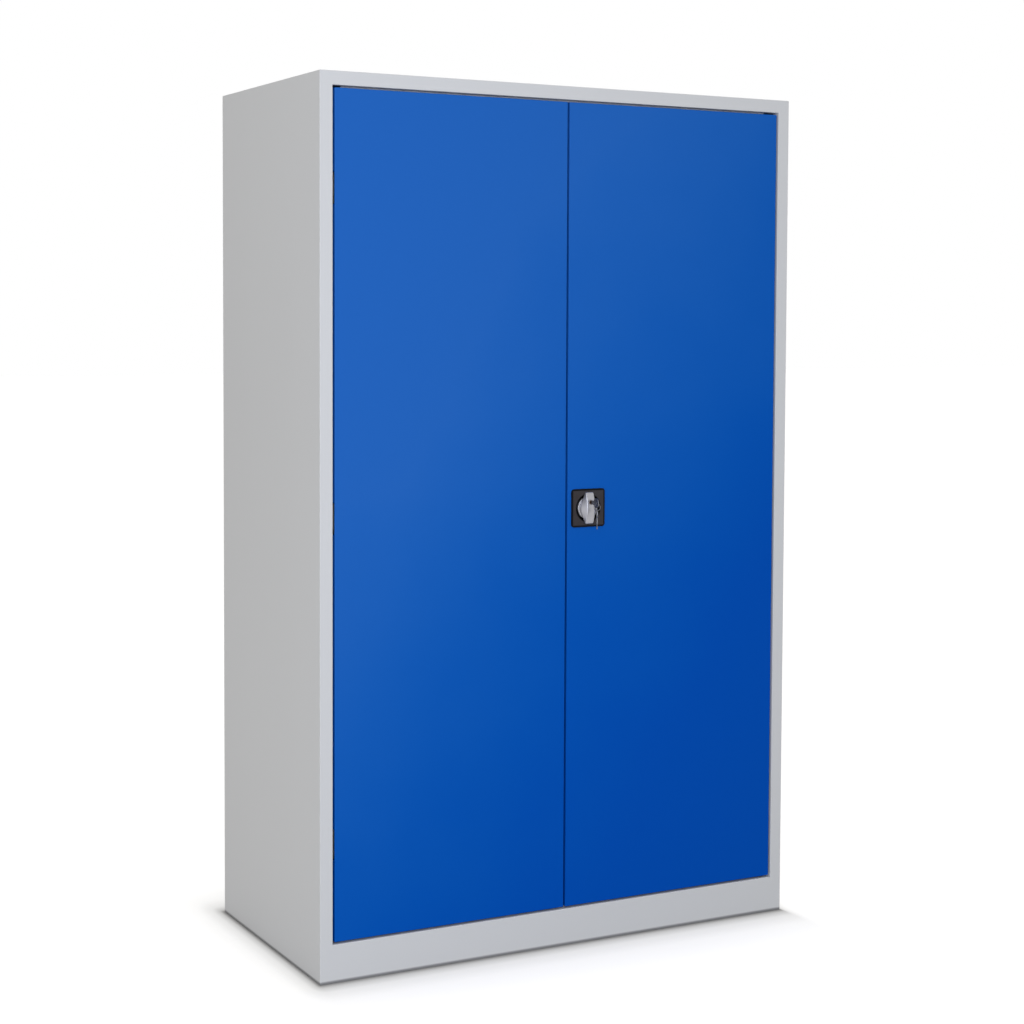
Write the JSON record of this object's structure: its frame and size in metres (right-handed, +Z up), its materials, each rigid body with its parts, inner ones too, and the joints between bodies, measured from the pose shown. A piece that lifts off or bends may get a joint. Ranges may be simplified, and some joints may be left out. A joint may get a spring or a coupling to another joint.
{
  "type": "tool_cabinet",
  "caption": "Tall steel storage cabinet with blue hinged doors, adjustable shelves and a keyed turn handle that drives lock rods and a latch tongue",
  "frame": {"origin": "on the floor, under the middle of the cabinet", "axes": "+X to the right seen from the front, +Y from the doors into the cabinet, +Z up"},
  "size_m": [1.2, 0.652, 1.95],
  "materials": {
    "body_paint": "satin",
    "door_paint": "satin",
    "zinc_steel": "satin",
    "bright_steel": "satin",
    "lock_black": "matte",
    "handle_metal": "satin",
    "buffer_rubber": "matte",
    "cylinder_brass": "satin"
  },
  "bodies": {
    "cabinet": {"left_side_panel": "body_paint", "right_side_panel": "body_paint", "top_panel": "body_paint", "header_rail": "body_paint", "base_plinth": "body_paint", "floor_panel": "body_paint", "floor_rail": "body_paint", "rear_base_rail": "body_paint", "base_corner_plates": "zinc_steel", "back_panel_left": "body_paint", "back_panel_right": "body_paint", "back_centre_rail": "body_paint", "upright_front_left": "body_paint", "upright_front_right": "body_paint", "upright_rear_left": "body_paint", "upright_rear_right": "body_paint", "right_frame_hinge_leaves": "zinc_steel", "left_frame_hinge_leaves": "zinc_steel", "right_hinge_pins": "bright_steel", "left_hinge_pins": "bright_steel", "door_buffers": "buffer_rubber", "shelf_1": "body_paint", "shelf_1_clips": "zinc_steel", "shelf_2": "body_paint", "shelf_2_clips": "zinc_steel", "shelf_3": "body_paint", "shelf_3_clips": "zinc_steel", "shelf_4": "body_paint", "shelf_4_clips": "zinc_steel"},
    "left_door": {"left_door_panel": "door_paint", "left_door_stiffener": "door_paint", "left_door_hinge_leaves": "zinc_steel", "left_door_strike": "zinc_steel", "strike_rivets": "bright_steel"},
    "right_door": {"right_door_panel": "door_paint", "right_door_stiffener": "door_paint", "right_door_hinge_leaves": "zinc_steel", "lock_plate": "lock_black", "gear_case": "zinc_steel", "gear_case_cover": "zinc_steel", "lock_screws": "bright_steel", "upper_rod_guide": "zinc_steel", "lower_rod_guide": "zinc_steel", "rod_guide_rivets": "bright_steel"},
    "handle": {"turn_handle": "handle_metal", "lock_cylinder": "handle_metal", "handle_spindle": "bright_steel", "drive_pinion": "bright_steel", "latch_tongue": "zinc_steel", "spindle_screw": "bright_steel"},
    "upper_rod": {"upper_lock_rod": "bright_steel"},
    "lower_rod": {"lower_lock_rod": "bright_steel"},
    "bolt": {"locking_bolt": "bright_steel"},
    "plug": {"lock_plug": "cylinder_brass"},
    "inserted_key": {"key": "handle_metal"},
    "ring": {"key_ring": "handle_metal"},
    "second_key": {"spare_key": "handle_metal"}
  },
  "joints": [
    {"name": "left_door_hinge", "type": "hinge", "parent": "cabinet", "child": "left_door", "pos_m": [-0.5535, -0.291, 1.002], "axis": [0, 0, -1], "range_deg": [0, 110]},
    {"name": "right_door_hinge", "type": "hinge", "parent": "cabinet", "child": "right_door", "pos_m": [0.5535, -0.291, 1.002], "axis": [0, 0, 1], "range_deg": [0, 110]},
    {"name": "handle_turn", "type": "hinge", "parent": "right_door", "child": "handle", "pos_m": [0.055, -0.3, 1.0015], "axis": [0, 1, 0], "range_deg": [0, 90]},
    {"name": "upper_rod_slide", "type": "slide", "parent": "right_door", "child": "upper_rod", "axis": [0, 0, 1], "range_m": [0, 0.0156]},
    {"name": "lower_rod_slide", "type": "slide", "parent": "right_door", "child": "lower_rod", "axis": [0, 0, -1], "range_m": [0, 0.0156]},
    {"name": "key_turn", "type": "hinge", "parent": "handle", "child": "plug", "pos_m": [0.055, -0.3, 1.015], "axis": [0, 1, 0], "range_deg": [0, 90]},
    {"name": "bolt_slide", "type": "slide", "parent": "handle", "child": "bolt", "axis": [0, 0, 1], "range_m": [0, 0.00454]},
    {"name": "key_pull", "type": "slide", "parent": "plug", "child": "inserted_key", "axis": [0, -1, 0], "range_m": [0, 0.03]},
    {"name": "ring_swing", "type": "hinge", "parent": "inserted_key", "child": "ring", "pos_m": [0.055, -0.34173, 1.01385], "axis": [1, 0, 0], "range_deg": [-50, 12]},
    {"name": "spare_key_swing", "type": "hinge", "parent": "ring", "child": "second_key", "pos_m": [0.055, -0.34173, 0.99785], "axis": [0.9063, -0.4226, 0], "range_deg": [-50, 12]}
  ],
  "couplings": [
    {"joint": "upper_rod_slide", "follows": "handle_turn", "m_per_rad": 0.0099},
    {"joint": "lower_rod_slide", "follows": "handle_turn", "m_per_rad": 0.0099},
    {"joint": "bolt_slide", "follows": "key_turn", "m_per_rad": 0.002881}
  ]
}
